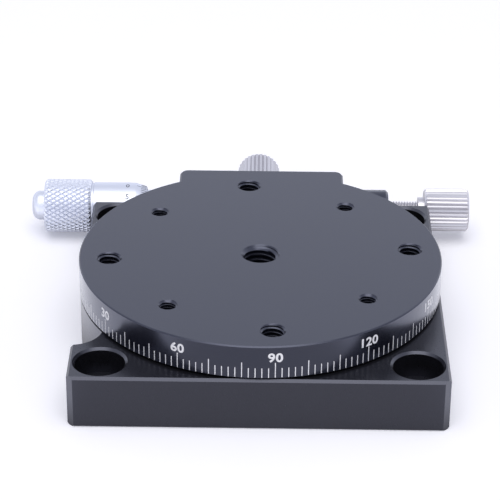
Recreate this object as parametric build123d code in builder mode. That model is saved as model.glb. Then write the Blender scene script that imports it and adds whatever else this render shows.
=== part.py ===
"""Rotation stage: a 60 mm table on a crossed-roller bearing, turned finely by a micrometer.

Millimetres. The origin is on the rotation axis at the base's underside. +Z points up
through the table, +Y towards the drive block, and +X towards the fine-lock knob.
"""

import os
from math import cos, pi, radians, sin, sqrt

from build123d import *

# ---- driving dimensions --------------------------------------------------------------

# running clearances
fit_gap = 0.05          # radial, round parts that turn or slide in each other
free_gap = 0.30         # between surfaces that pass each other
contact_gap = 0.12      # spindle or plunger to the arm, so that a swing never bites

# base plate
base_width = 60.0
base_height = 9.0
base_floor = 2.0
base_edge = 0.42        # chamfer along the top edges
base_foot = 0.25        # the same along the bottom edges
base_corner = 1.0       # chamfer down the four corners
cavity_wall = 2.0       # thinnest wall left round the pocket
relief_pad = 9.95       # length of the corner pads beside the relief
relief_cutter_r = 5.0   # radius at the ends of the side relief
relief_run_out = 0.2    # centre of those radii, outside the base's side

# mounting holes, M4 socket screws
mount_inset = 5.0       # hole axis to the base's sides
mount_hole_r = 2.25
mount_cbore_r = 4.0
mount_cbore_depth = 4.4
mount_rim = 0.38

# crossed-roller bearing
bearing_section = 8.0   # both rings together, radially
bearing_width = 6.0
race_split = 0.8        # radial gap between the two rings
race_offset = 3.5       # roller circle inside the outer ring's outside
roller_d = 3.0
roller_length = 2.9
roller_gap = 0.75       # least room between neighbouring rollers
roller_play = 0.05      # from each roller to its races
cage_thickness = 0.4
cage_width = 5.0
boss_wall = 3.0         # wall of the base's boss round the outer ring
retainer_thickness = 0.9
retainer_screw_count = 6
retainer_screw_length = 3.0

# table
table_lift = 0.2        # table's underside over the base's top
table_thickness = 5.8
table_edge = 0.2
table_turn = 4.88       # angle of the table as the stage stands
recess_gap = 0.5        # ceiling over the bearing's retainer
skirt_wall = 2.4
skirt_room = 4.3        # between the skirt and the base's boss
hub_shoulder = 2.5      # shoulder of the hub over the inner ring
centre_thread_r = 3.0   # M6
outer_thread_r = 2.0    # M4
outer_thread_inset = 5.0
inner_thread_r = 1.5    # M3
inner_pitch = 32.0      # square pattern of the M3 holes
thread_depth = 4.5
thread_rim = 0.1

# clamp plate under the hub
clamp_overlap = 3.0     # on to the inner ring
clamp_plate_thickness = 1.0
clamp_screw_count = 4
clamp_screw_length = 4.5

# tangent arm
arm_thickness = 2.0
washer_thickness = 0.3
washer_width = 5.0
circlip_thickness = 0.6
circlip_stand = 1.8     # circlip's rim outside the boss
circlip_groove = 0.7
circlip_open = 24.0     # degrees between the two eyelets
circlip_eye_r = 0.5
circlip_eye_wall = 0.55
neck_half = 5.0
lug_clear = 0.4         # lug's front face behind the base's pocket
lug_over = 1.5          # lug's back face behind the micrometer's axis
fine_range = 5.0        # degrees each way
drive_offset = 4.9      # micrometer's axis behind the base's rear face
drive_z = 5.5           # height of the micrometer's axis

# drive block
block_half = 14.75
block_behind = 3.8      # back face behind the micrometer's axis
block_rise = 2.2        # top over the base's top
block_corner = 1.5
block_edge = 0.3
roof = 1.8
block_screw_side = 2.55  # from the block's cheeks
block_screw_inset = 0.6  # in front of the base's rear face
block_screw_seat = 6.5   # height of the seat under the screw heads
block_screw_length = 6.0

# micrometer head
stem_r = 3.0
spindle_r = 1.73
thimble_bore_r = 3.3
thimble_r = 4.335
grip_r = 4.7
bevel_r = 3.6
bevel_tip_x = -21.2     # front edge of the graduated bevel
bevel_length = 2.0
thimble_length = 17.95
grip_length = 8.45
grip_edge = 0.35
groove_width = 0.4      # undercut between the barrel and the grip
groove_depth = 0.12
cap_r = 2.65
cap_length = 2.35
cap_dome = 0.94
stem_cover = 5.65       # from the stem's end to the thimble's
thimble_end_wall = 1.6
button_r = 1.1
button_stand = 0.3
button_depth = 1.0
button_edge = 0.2
spindle_tip_r = 0.6

# return spring and fine lock
sleeve_r = 3.5
sleeve_length = 8.25
sleeve_spigot_r = 3.0
sleeve_bore_r = 2.05
sleeve_end_wall = 2.0
sleeve_lip = 0.8
sleeve_edge = 0.45
plunger_nose_r = 1.2
plunger_head_length = 1.8
spring_wire_r = 0.15
spring_coils = 6
lock_backed_off = 0.25  # fine-lock tip to the plunger at the end of its travel

# lock screws, M3
stud_r = 1.46
tapped_gap = 0.04
knob_r = 3.85
knob_length = 8.0
knob_edge = 0.4
knurl_count = 30
knurl_depth = 0.28
knob_web = 1.5          # solid end of the knob behind its stud
collar_r = 2.25
collar_length = 1.1
tip_r = 1.1
tip_length = 1.2
fine_knob_out = 6.55    # near face of the fine-lock knob, past the sleeve
coarse_x = -0.5         # the coarse lock stands a little to the micrometer's side
coarse_z = 6.1
coarse_knob_out = 1.8   # near face of the coarse-lock knob, past the block
pad_r = 1.4
pad_length = 2.0
pad_standoff = 0.25     # coarse-lock pad to the table's skirt

# small screws: head radius, head height, shank radius
m25_head_r, m25_head_h, m25_r = 2.0, 2.0, 1.25
m2_head_r, m2_r = 1.9, 1.0
m16_head_r, m16_r = 1.3, 0.8
hex_share = 0.55        # socket's corner radius to the head's radius
socket_share = 0.6      # socket's depth to the head's height
grub_r = 1.0
grub_hex_r = 0.5
grub_inset = 2.95       # from the block's cheeks
grub_offset = 1.5       # the grub screws press a little ahead of the axis

# ---- derived places -------------------------------------------------------------------

half_width = base_width / 2
table_r = half_width
cavity_r = half_width - cavity_wall
wall_r = half_width - fit_gap
relief_x = -half_width - relief_run_out
relief_y = half_width - relief_pad - relief_cutter_r
mount_pitch = base_width - mount_inset * 2

# heights, from the base's floor up
bearing_top = base_floor + bearing_width
bearing_mid = base_floor + bearing_width / 2
retainer_top = bearing_top + retainer_thickness
arm_bottom = base_floor + washer_thickness
arm_top = arm_bottom + arm_thickness
skirt_bottom = arm_top + free_gap
table_recess = retainer_top + recess_gap
table_underside = base_height + table_lift
table_top = table_underside + table_thickness
block_top = base_height + block_rise
lug_top = base_height - table_lift

# radii, from the base's wall in to the hub
skirt_outer_r = cavity_r - free_gap
skirt_inner_r = skirt_outer_r - skirt_wall
boss_r = skirt_inner_r - skirt_room
bearing_outer_r = boss_r - boss_wall
bearing_inner_r = bearing_outer_r - bearing_section
roller_circle_r = bearing_outer_r - race_offset
floor_bore_r = roller_circle_r
outer_race_r = roller_circle_r + race_split / 2
inner_race_r = roller_circle_r - race_split / 2
race_depth = (roller_d / 2 + roller_play) * sqrt(2)
roller_count = 2 * int(pi * roller_circle_r / (roller_d + roller_gap))
retainer_inner_r = outer_race_r + free_gap
retainer_screw_circle_r = bearing_outer_r + boss_wall / 2
hub_shoulder_r = bearing_inner_r + hub_shoulder
clamp_plate_r = bearing_inner_r + clamp_overlap
clamp_screw_circle_r = (centre_thread_r + bearing_inner_r) / 2
outer_circle_r = table_r - outer_thread_inset
inner_circle_r = inner_pitch / sqrt(2)
table_gap_r = table_r + free_gap
arm_ring_r = cavity_r - free_gap * 2
washer_outer_r = boss_r + washer_width
circlip_outer_r = boss_r + circlip_stand

# the drive, behind the base
lever = half_width + drive_offset
lug_front = cavity_r + lug_clear
lug_back = lever + lug_over
block_back = lever + block_behind
block_screw_x = block_half - block_screw_side
block_screw_y = half_width - block_screw_inset
grub_x = block_half - grub_inset
swing = radians(fine_range)
fine_travel = lever * swing
lug_reach = neck_half * cos(swing) + lug_back * sin(swing)
cavity_half = lug_reach + free_gap
cavity_back = lug_back * cos(swing) + neck_half * sin(swing) + free_gap

# along the micrometer's axis
bevel_back_x = bevel_tip_x - bevel_length
grip_back_x = bevel_tip_x - thimble_length
grip_front_x = grip_back_x + grip_length
stem_back_x = grip_back_x + stem_cover
sleeve_end_x = block_half + sleeve_length
fine_knob_x = sleeve_end_x + fine_knob_out
coarse_knob_y = block_back + coarse_knob_out
spring_r = sleeve_bore_r - spring_wire_r - fit_gap * 3

drive_plane = Plane(origin=(0, lever, drive_z), x_dir=(1, 0, 0), z_dir=(0, -1, 0))
coarse_plane = Plane(origin=(coarse_x, 0, coarse_z), x_dir=(0, 1, 0), z_dir=(1, 0, 0))
turn_plane = Plane(origin=(0, 0, 0), x_dir=(0, 0, 1), z_dir=(0, 1, 0))

os.makedirs("parts", exist_ok=True)


# ---- shared shapes --------------------------------------------------------------------

def turned(plane, points):
    """A solid of revolution: (distance along the plane's x axis, radius) points."""
    with BuildPart() as body:
        with BuildSketch(plane):
            with BuildLine():
                Polyline(*points, close=True)
            make_face()
        revolve(axis=Axis(plane.origin, plane.x_dir))
    return body.part


def ring(inner_r, outer_r, bottom, thickness):
    """A flat ring about the rotation axis."""
    with BuildPart() as body:
        with BuildSketch(Plane.XY.offset(bottom)):
            Circle(outer_r)
            Circle(inner_r, mode=Mode.SUBTRACT)
        extrude(amount=thickness)
    return body.part


def knurled_knob(plane, front):
    """A straight-knurled knob with a small collar, bored for its stud."""
    back = front + knob_length
    with BuildPart() as knob:
        add(turned(plane, [
            (front - collar_length, stud_r), (front - collar_length, collar_r),
            (front, collar_r), (front, knob_r - knob_edge), (front + knob_edge, knob_r),
            (back - knob_edge, knob_r), (back, knob_r - knob_edge),
            (back, 0), (back - knob_web, 0), (back - knob_web, stud_r)]))
        with BuildSketch(Plane(plane.origin + plane.x_dir * front, z_dir=plane.x_dir)):
            with PolarLocations(knob_r, knurl_count):
                RegularPolygon(knurl_depth, 4)
        extrude(amount=knob_length, mode=Mode.SUBTRACT)
    return knob.part


def flat_head_screw(head_r, shank_r, length):
    """A countersunk screw with a hexagon socket, its flat top at z = 0."""
    with BuildPart() as screw:
        head_h = head_r - shank_r
        Cylinder(shank_r, length, align=(Align.CENTER, Align.CENTER, Align.MAX))
        Cone(shank_r, head_r, head_h, align=(Align.CENTER, Align.CENTER, Align.MAX))
        with BuildSketch():
            RegularPolygon(shank_r * socket_share, 6)
        extrude(amount=-head_h, mode=Mode.SUBTRACT)
    return screw.part


def socket_screw(head_r, head_h, shank_r, length):
    """A socket-head cap screw, its seat at z = 0 and its shank below."""
    with BuildPart() as screw:
        Cylinder(shank_r, length, align=(Align.CENTER, Align.CENTER, Align.MAX))
        Cylinder(head_r, head_h, align=(Align.CENTER, Align.CENTER, Align.MIN))
        with BuildSketch(Plane.XY.offset(head_h)):
            RegularPolygon(head_r * hex_share, 6)
        extrude(amount=-head_h * socket_share, mode=Mode.SUBTRACT)
    return screw.part


# ---- base plate -----------------------------------------------------------------------

with BuildPart() as base_plate:
    Box(base_width, base_width, base_height, align=(Align.CENTER, Align.CENTER, Align.MIN))
    chamfer(base_plate.faces().sort_by(Axis.Z)[-1].edges(), base_edge)
    chamfer(base_plate.faces().sort_by(Axis.Z)[0].edges(), base_foot)

    # corner chamfers run straight down through the edge chamfer
    with BuildSketch():
        with GridLocations(base_width, base_width, 2, 2):
            RegularPolygon(base_corner, 4)
    extrude(amount=base_height, mode=Mode.SUBTRACT)

    # round pocket, with the bearing's boss left standing in it
    with BuildSketch(Plane.XY.offset(base_floor)):
        Circle(cavity_r)
        Circle(boss_r, mode=Mode.SUBTRACT)
    extrude(amount=base_height, mode=Mode.SUBTRACT)
    with BuildSketch(Plane.XY.offset(bearing_top)):
        Circle(boss_r + fit_gap)
    extrude(amount=base_height, mode=Mode.SUBTRACT)
    with BuildSketch(Plane.XY.offset(base_floor)):
        Circle(bearing_outer_r)
    extrude(amount=base_height, mode=Mode.SUBTRACT)
    with BuildSketch():
        Circle(floor_bore_r)
    extrude(amount=base_floor, mode=Mode.SUBTRACT)

    # groove for the arm's circlip
    with BuildSketch(Plane.XY.offset(arm_top + fit_gap)):
        Circle(boss_r + fit_gap)
        Circle(boss_r - circlip_groove, mode=Mode.SUBTRACT)
    extrude(amount=circlip_thickness, mode=Mode.SUBTRACT)

    # side relief: a cutter runs round the wall between the two left pads
    with BuildSketch():
        with Locations((relief_x, relief_y), (relief_x, -relief_y)):
            Circle(relief_cutter_r)
        with Locations((-base_width / 2, 0)):
            Rectangle((relief_cutter_r + relief_run_out) * 2, relief_y * 2)
        Circle(wall_r, mode=Mode.SUBTRACT)
    extrude(amount=base_height, mode=Mode.SUBTRACT)

    # seat for the drive block, and the ledge that it stands on
    with BuildSketch(Plane.XY.offset(base_floor)):
        with Locations((0, block_back / 2)):
            Rectangle(block_half * 2 + fit_gap * 2, block_back)
        Circle(cavity_r - free_gap, mode=Mode.SUBTRACT)
    extrude(amount=base_height, mode=Mode.SUBTRACT)
    with BuildSketch():
        with Locations((0, (cavity_r + block_back) / 2)):
            Rectangle(block_half * 2, block_back - cavity_r)
    extrude(amount=base_floor)
    fillet(base_plate.edges().filter_by(Axis.Z).group_by(Axis.Y)[-1], block_corner)
    with Locations((0, block_screw_y, base_floor)):
        with GridLocations(block_screw_x * 2, 0, 2, 1):
            Hole(m25_r, base_floor)

    # screw holes for the bearing retainer
    with BuildSketch(Plane.XY.offset(bearing_top)):
        with PolarLocations(retainer_screw_circle_r, retainer_screw_count):
            Circle(m16_r)
    extrude(amount=-retainer_screw_length, mode=Mode.SUBTRACT)

    # counterbored mounting holes
    with Locations(Plane.XY.offset(base_height)):
        with GridLocations(mount_pitch, mount_pitch, 2, 2):
            CounterBoreHole(mount_hole_r, mount_cbore_r, mount_cbore_depth)
    rims = base_plate.edges().filter_by(GeomType.CIRCLE).group_by(Axis.Z)[-1]
    chamfer(rims.filter_by(lambda rim: abs(rim.radius - mount_cbore_r) < 0.01), mount_rim)
base_plate.part.label = "base_plate"
export_step(base_plate.part, "parts/base_plate.step")


# ---- drive block ----------------------------------------------------------------------

with BuildPart() as drive_block:
    # foot behind the skirt, then the head behind the table's band
    with BuildSketch(Plane.XY.offset(base_floor)):
        with Locations((0, block_back / 2)):
            Rectangle(block_half * 2, block_back)
        Circle(cavity_r, mode=Mode.SUBTRACT)
    extrude(amount=base_height - base_floor)
    with BuildSketch(Plane.XY.offset(base_height)):
        with Locations((0, block_back / 2)):
            Rectangle(block_half * 2, block_back)
        Circle(table_gap_r, mode=Mode.SUBTRACT)
    extrude(amount=block_top - base_height)
    fillet(drive_block.edges().filter_by(Axis.Z).group_by(Axis.Y)[-1], block_corner)
    top_edges = drive_block.faces().sort_by(Axis.Z)[-1].edges()
    chamfer(top_edges.filter_by(lambda edge: edge.center().Y > base_width / 2), block_edge)

    # room for the arm's lug, open below and towards the table
    with BuildSketch(Plane.XY.offset(base_floor)):
        with Locations((0, cavity_back / 2)):
            Rectangle(cavity_half * 2, cavity_back)
    extrude(amount=block_top - roof - base_floor, mode=Mode.SUBTRACT)

    # slot in the back wall for the coarse-lock stud
    slot_half = stud_r + block_back * sin(swing) + free_gap
    with BuildSketch(Plane.XZ.offset(-block_back)):
        with Locations((coarse_x, coarse_z)):
            Rectangle(slot_half * 2, (stud_r + free_gap) * 2)
    extrude(amount=block_back - cavity_back, mode=Mode.SUBTRACT)

    # one bore through both cheeks for the stem and the spring sleeve
    with Locations((0, lever, drive_z)):
        Cylinder(stem_r, block_half * 2, rotation=(0, 90, 0), mode=Mode.SUBTRACT)

    # screws down into the ledge, and grub screws on to the stem and the sleeve
    with Locations((0, block_screw_y, block_top)):
        with GridLocations(block_screw_x * 2, 0, 2, 1):
            CounterBoreHole(m25_r, m25_head_r, block_top - block_screw_seat)
    with Locations((0, lever - grub_offset, block_top)):
        with GridLocations(grub_x * 2, 0, 2, 1):
            Hole(grub_r, block_top - drive_z)
drive_block.part.label = "drive_block"
export_step(drive_block.part, "parts/drive_block.step")


with BuildPart() as block_screws:
    with Locations((0, block_screw_y, block_screw_seat)):
        with GridLocations(block_screw_x * 2, 0, 2, 1):
            add(socket_screw(m25_head_r, m25_head_h, m25_r, block_screw_length))
block_screws.part.label = "block_screws"
export_step(block_screws.part, "parts/block_screws.step")


# ---- crossed-roller bearing -----------------------------------------------------------

outer_race_half = roller_circle_r + race_depth - outer_race_r
with BuildPart() as bearing_outer_ring:
    add(turned(turn_plane, [
        (base_floor, bearing_outer_r), (base_floor, outer_race_r),
        (bearing_mid - outer_race_half, outer_race_r), (bearing_mid, roller_circle_r + race_depth),
        (bearing_mid + outer_race_half, outer_race_r), (bearing_top, outer_race_r),
        (bearing_top, bearing_outer_r)]))
bearing_outer_ring.part.label = "bearing_outer_ring"
export_step(bearing_outer_ring.part, "parts/bearing_outer_ring.step")

inner_race_half = inner_race_r - roller_circle_r + race_depth
with BuildPart() as bearing_inner_ring:
    add(turned(turn_plane, [
        (base_floor, bearing_inner_r), (base_floor, inner_race_r),
        (bearing_mid - inner_race_half, inner_race_r), (bearing_mid, roller_circle_r - race_depth),
        (bearing_mid + inner_race_half, inner_race_r), (bearing_top, inner_race_r),
        (bearing_top, bearing_inner_r)]))
bearing_inner_ring.part.label = "bearing_inner_ring"
export_step(bearing_inner_ring.part, "parts/bearing_inner_ring.step")

# neighbouring rollers lean opposite ways, 45 degrees to the axis
roller_step = 360 / roller_count
with BuildPart() as bearing_rollers:
    for start_angle, lean in ((0, 45), (roller_step, -45)):
        with Locations((0, 0, bearing_mid)):
            with PolarLocations(roller_circle_r, roller_count // 2, start_angle=start_angle):
                Cylinder(roller_d / 2, roller_length, rotation=(0, lean, 0))
bearing_rollers.part.label = "bearing_rollers"
export_step(bearing_rollers.part, "parts/bearing_rollers.step")

with BuildPart() as roller_cage:
    add(ring(roller_circle_r - cage_thickness / 2, roller_circle_r + cage_thickness / 2,
             bearing_mid - cage_width / 2, cage_width))
    with Locations((0, 0, bearing_mid)):
        with PolarLocations(roller_circle_r, roller_count):
            Box(roller_d, roller_d + fit_gap * 4, race_depth * 2, mode=Mode.SUBTRACT)
roller_cage.part.label = "roller_cage"
export_step(roller_cage.part, "parts/roller_cage.step")

with BuildPart() as bearing_retainer:
    add(ring(retainer_inner_r, boss_r, bearing_top, retainer_thickness))
    with Locations((0, 0, retainer_top)):
        with PolarLocations(retainer_screw_circle_r, retainer_screw_count):
            CounterSinkHole(m16_r, m16_head_r, retainer_thickness, counter_sink_angle=90)
bearing_retainer.part.label = "bearing_retainer"
export_step(bearing_retainer.part, "parts/bearing_retainer.step")

with BuildPart() as retainer_screws:
    with Locations((0, 0, retainer_top)):
        with PolarLocations(retainer_screw_circle_r, retainer_screw_count):
            add(flat_head_screw(m16_head_r, m16_r, retainer_screw_length))
retainer_screws.part.label = "retainer_screws"
export_step(retainer_screws.part, "parts/retainer_screws.step")


# ---- table ----------------------------------------------------------------------------

with BuildPart() as table_disc:
    add(turned(turn_plane, [
        (base_floor, 0), (base_floor, bearing_inner_r), (bearing_top, bearing_inner_r),
        (bearing_top, hub_shoulder_r), (table_recess, hub_shoulder_r),
        (table_recess, skirt_inner_r), (skirt_bottom, skirt_inner_r),
        (skirt_bottom, skirt_outer_r), (table_underside, skirt_outer_r),
        (table_underside, table_r - table_edge), (table_underside + table_edge, table_r),
        (table_top - table_edge, table_r), (table_top, table_r - table_edge), (table_top, 0)]))
    with Locations((0, 0, table_top)):
        CounterSinkHole(centre_thread_r, centre_thread_r + thread_rim * 2, counter_sink_angle=90)
        with PolarLocations(outer_circle_r, 4, start_angle=table_turn):
            CounterSinkHole(outer_thread_r, outer_thread_r + thread_rim, thread_depth, 90)
        with PolarLocations(inner_circle_r, 4, start_angle=table_turn + 45):
            CounterSinkHole(inner_thread_r, inner_thread_r + thread_rim, thread_depth, 90)
    with Locations(Plane(origin=(0, 0, base_floor), z_dir=(0, 0, -1))):
        with PolarLocations(clamp_screw_circle_r, clamp_screw_count, start_angle=45):
            Hole(m2_r, clamp_screw_length)
table_disc.part.label = "table_disc"
export_step(table_disc.part, "parts/table_disc.step")

clamp_plate_bottom = base_floor - clamp_plate_thickness
with BuildPart() as hub_clamp_plate:
    add(ring(centre_thread_r + free_gap, clamp_plate_r, clamp_plate_bottom, clamp_plate_thickness))
    with Locations(Plane(origin=(0, 0, clamp_plate_bottom), z_dir=(0, 0, -1))):
        with PolarLocations(clamp_screw_circle_r, clamp_screw_count, start_angle=45):
            CounterSinkHole(m2_r, m2_head_r, clamp_plate_thickness, counter_sink_angle=90)
hub_clamp_plate.part.label = "hub_clamp_plate"
export_step(hub_clamp_plate.part, "parts/hub_clamp_plate.step")

with BuildPart() as clamp_plate_screws:
    with Locations(Plane(origin=(0, 0, clamp_plate_bottom), z_dir=(0, 0, -1))):
        with PolarLocations(clamp_screw_circle_r, clamp_screw_count, start_angle=45):
            add(flat_head_screw(m2_head_r, m2_r, clamp_screw_length))
clamp_plate_screws.part.label = "clamp_plate_screws"
export_step(clamp_plate_screws.part, "parts/clamp_plate_screws.step")


# ---- tangent arm ----------------------------------------------------------------------

with BuildPart() as tangent_arm:
    with BuildSketch(Plane.XY.offset(arm_bottom)):
        Circle(arm_ring_r)
        with Locations((0, lug_back / 2)):
            Rectangle(neck_half * 2, lug_back)
        Circle(boss_r + fit_gap, mode=Mode.SUBTRACT)
    extrude(amount=arm_thickness)
    with BuildSketch(Plane.XY.offset(arm_bottom)):
        with Locations((0, (lug_front + lug_back) / 2)):
            Rectangle(neck_half * 2, lug_back - lug_front)
    extrude(amount=lug_top - arm_bottom)
    # tapped bore for the coarse lock, and the seat of the anvil button
    with Locations((coarse_x, (lug_front + lug_back) / 2, coarse_z)):
        Cylinder(stud_r + tapped_gap, lug_back - lug_front, rotation=(90, 0, 0), mode=Mode.SUBTRACT)
    with BuildSketch(Plane(origin=(-neck_half, lever, drive_z), z_dir=(-1, 0, 0))):
        Circle(button_r)
    extrude(amount=-button_depth, mode=Mode.SUBTRACT)
tangent_arm.part.label = "tangent_arm"
export_step(tangent_arm.part, "parts/tangent_arm.step")

button_face_x = -neck_half - button_stand
with BuildPart() as anvil_button:
    add(turned(drive_plane, [
        (button_face_x, 0), (button_face_x, button_r - button_edge),
        (button_face_x + button_edge, button_r),
        (-neck_half + button_depth, button_r), (-neck_half + button_depth, 0)]))
anvil_button.part.label = "anvil_button"
export_step(anvil_button.part, "parts/anvil_button.step")

with BuildPart() as arm_slide_washer:
    add(ring(boss_r + fit_gap, washer_outer_r, base_floor, washer_thickness))
arm_slide_washer.part.label = "arm_slide_washer"
export_step(arm_slide_washer.part, "parts/arm_slide_washer.step")

# the circlip is open at the front, with an eyelet at each end
circlip_bottom = arm_top + fit_gap * 2
circlip_lug_r = circlip_eye_r + circlip_eye_wall
circlip_mid_r = (circlip_outer_r + boss_r) / 2
circlip_gap = circlip_mid_r * sin(radians(circlip_open / 2)) * 2
with BuildPart() as arm_circlip:
    with BuildSketch(Plane.XY.offset(circlip_bottom)):
        Circle(circlip_outer_r)
        Circle(boss_r - circlip_groove + fit_gap, mode=Mode.SUBTRACT)
        with Locations((0, -circlip_mid_r)):
            Rectangle(circlip_gap, circlip_stand * 4, mode=Mode.SUBTRACT)
        with PolarLocations(circlip_mid_r, 2, start_angle=-90 - circlip_open / 2,
                            angular_range=circlip_open, endpoint=True):
            Circle(circlip_lug_r)
            Circle(circlip_eye_r, mode=Mode.SUBTRACT)
    extrude(amount=circlip_thickness - fit_gap * 2)
arm_circlip.part.label = "arm_circlip"
export_step(arm_circlip.part, "parts/arm_circlip.step")


# ---- micrometer head ------------------------------------------------------------------

spindle_bore_r = spindle_r + fit_gap
with BuildPart() as micrometer_stem:
    add(turned(drive_plane, [
        (-cavity_half, spindle_bore_r), (-cavity_half, stem_r),
        (stem_back_x, stem_r), (stem_back_x, spindle_bore_r)]))
micrometer_stem.part.label = "micrometer_stem"
export_step(micrometer_stem.part, "parts/micrometer_stem.step")

spindle_tip_x = button_face_x - contact_gap
with BuildPart() as micrometer_spindle:
    add(turned(drive_plane, [
        (spindle_tip_x, 0), (spindle_tip_x, spindle_tip_r),
        (spindle_tip_x - (spindle_r - spindle_tip_r), spindle_r), (grip_back_x, spindle_r),
        (grip_back_x, 0)]))
micrometer_spindle.part.label = "micrometer_spindle"
export_step(micrometer_spindle.part, "parts/micrometer_spindle.step")

thimble_wall_x = grip_back_x + thimble_end_wall
with BuildPart() as micrometer_thimble:
    add(turned(drive_plane, [
        (bevel_tip_x, thimble_bore_r), (bevel_tip_x, bevel_r), (bevel_back_x, thimble_r),
        (grip_front_x + groove_width, thimble_r),
        (grip_front_x + groove_width, thimble_r - groove_depth),
        (grip_front_x, thimble_r - groove_depth), (grip_front_x, grip_r - grip_edge),
        (grip_front_x - grip_edge, grip_r), (grip_back_x + grip_edge, grip_r),
        (grip_back_x, grip_r - grip_edge), (grip_back_x, spindle_bore_r),
        (thimble_wall_x, spindle_bore_r), (thimble_wall_x, thimble_bore_r)]))
micrometer_thimble.part.label = "micrometer_thimble"
export_step(micrometer_thimble.part, "parts/micrometer_thimble.step")

with BuildPart() as thimble_end_cap:
    with BuildSketch(Plane(origin=(grip_back_x, lever, drive_z), z_dir=(-1, 0, 0))):
        Circle(cap_r)
    extrude(amount=cap_length)
    fillet(thimble_end_cap.edges().sort_by(Axis.X)[0], cap_dome)
thimble_end_cap.part.label = "thimble_end_cap"
export_step(thimble_end_cap.part, "parts/thimble_end_cap.step")


# ---- return spring and fine lock ------------------------------------------------------

nose_bore_r = plunger_nose_r + fit_gap
sleeve_wall_x = sleeve_end_x - sleeve_end_wall
with BuildPart() as spring_sleeve:
    add(turned(drive_plane, [
        (cavity_half, nose_bore_r), (cavity_half, sleeve_spigot_r), (block_half, sleeve_spigot_r),
        (block_half, sleeve_r), (sleeve_end_x - sleeve_edge, sleeve_r),
        (sleeve_end_x, sleeve_r - sleeve_edge), (sleeve_end_x, stud_r + tapped_gap),
        (sleeve_wall_x, stud_r + tapped_gap), (sleeve_wall_x, sleeve_bore_r),
        (cavity_half + sleeve_lip, sleeve_bore_r), (cavity_half + sleeve_lip, nose_bore_r)]))
spring_sleeve.part.label = "spring_sleeve"
export_step(spring_sleeve.part, "parts/spring_sleeve.step")

plunger_tip_x = neck_half + contact_gap
head_front_x = cavity_half + sleeve_lip + fine_travel + contact_gap
head_back_x = head_front_x + plunger_head_length
with BuildPart() as plunger_pin:
    add(turned(drive_plane, [
        (plunger_tip_x, 0), (plunger_tip_x, spindle_tip_r),
        (plunger_tip_x + plunger_nose_r - spindle_tip_r, plunger_nose_r),
        (head_front_x, plunger_nose_r), (head_front_x, sleeve_bore_r - fit_gap),
        (head_back_x, sleeve_bore_r - fit_gap), (head_back_x, 0)]))
plunger_pin.part.label = "plunger_pin"
export_step(plunger_pin.part, "parts/plunger_pin.step")

spring_length = sleeve_wall_x - head_back_x - spring_wire_r * 2
spring_start = (head_back_x + spring_wire_r, lever, drive_z)
with BuildPart() as return_spring:
    with BuildLine() as coil:
        Helix(spring_length / spring_coils, spring_length, spring_r, spring_start, (1, 0, 0))
    with BuildSketch(Plane(coil.line @ 0, z_dir=coil.line % 0)):
        RegularPolygon(spring_wire_r, 6)
    sweep(path=coil.line, is_frenet=True)
return_spring.part.label = "return_spring"
export_step(return_spring.part, "parts/return_spring.step")

with BuildPart() as clamp_grub_screws:
    grub_bottom = drive_z + sqrt(stem_r**2 - (grub_offset - grub_r)**2)
    with BuildSketch(Plane.XY.offset(grub_bottom)):
        with Locations((0, lever - grub_offset)):
            with GridLocations(grub_x * 2, 0, 2, 1):
                Circle(grub_r)
    extrude(amount=block_top - block_edge - grub_bottom)
    with BuildSketch(Plane.XY.offset(block_top - block_edge)):
        with Locations((0, lever - grub_offset)):
            with GridLocations(grub_x * 2, 0, 2, 1):
                RegularPolygon(grub_hex_r, 6)
    extrude(amount=-grub_r, mode=Mode.SUBTRACT)
clamp_grub_screws.part.label = "clamp_grub_screws"
export_step(clamp_grub_screws.part, "parts/clamp_grub_screws.step")

fine_tip_x = head_back_x + fine_travel + lock_backed_off
with BuildPart() as fine_lock_tip:
    add(turned(drive_plane, [
        (fine_tip_x, 0), (fine_tip_x, tip_r), (fine_tip_x + tip_length, tip_r),
        (fine_tip_x + tip_length, 0)]))
fine_lock_tip.part.label = "fine_lock_tip"
export_step(fine_lock_tip.part, "parts/fine_lock_tip.step")

fine_stud_x = fine_tip_x + tip_length + fit_gap
with BuildPart() as fine_lock_stud:
    add(turned(drive_plane, [
        (fine_stud_x, 0), (fine_stud_x, stud_r), (fine_knob_x + knob_length - knob_web, stud_r),
        (fine_knob_x + knob_length - knob_web, 0)]))
fine_lock_stud.part.label = "fine_lock_stud"
export_step(fine_lock_stud.part, "parts/fine_lock_stud.step")

with BuildPart() as fine_lock_knob:
    add(knurled_knob(drive_plane, fine_knob_x))
fine_lock_knob.part.label = "fine_lock_knob"
export_step(fine_lock_knob.part, "parts/fine_lock_knob.step")


# ---- coarse lock ----------------------------------------------------------------------

pad_front_y = skirt_outer_r + pad_standoff
with BuildPart() as coarse_clamp_pad:
    add(turned(coarse_plane, [
        (pad_front_y, 0), (pad_front_y, pad_r), (pad_front_y + pad_length, pad_r),
        (pad_front_y + pad_length, 0)]))
coarse_clamp_pad.part.label = "coarse_clamp_pad"
export_step(coarse_clamp_pad.part, "parts/coarse_clamp_pad.step")

coarse_stud_y = pad_front_y + pad_length + fit_gap
with BuildPart() as coarse_lock_stud:
    add(turned(coarse_plane, [
        (coarse_stud_y, 0), (coarse_stud_y, stud_r),
        (coarse_knob_y + knob_length - knob_web, stud_r),
        (coarse_knob_y + knob_length - knob_web, 0)]))
coarse_lock_stud.part.label = "coarse_lock_stud"
export_step(coarse_lock_stud.part, "parts/coarse_lock_stud.step")

with BuildPart() as coarse_lock_knob:
    add(knurled_knob(coarse_plane, coarse_knob_y))
coarse_lock_knob.part.label = "coarse_lock_knob"
export_step(coarse_lock_knob.part, "parts/coarse_lock_knob.step")
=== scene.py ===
from math import ceil, cos, pi, radians, sin, sqrt, tan

import bmesh
import bpy
from mathutils import Matrix, Vector


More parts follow.
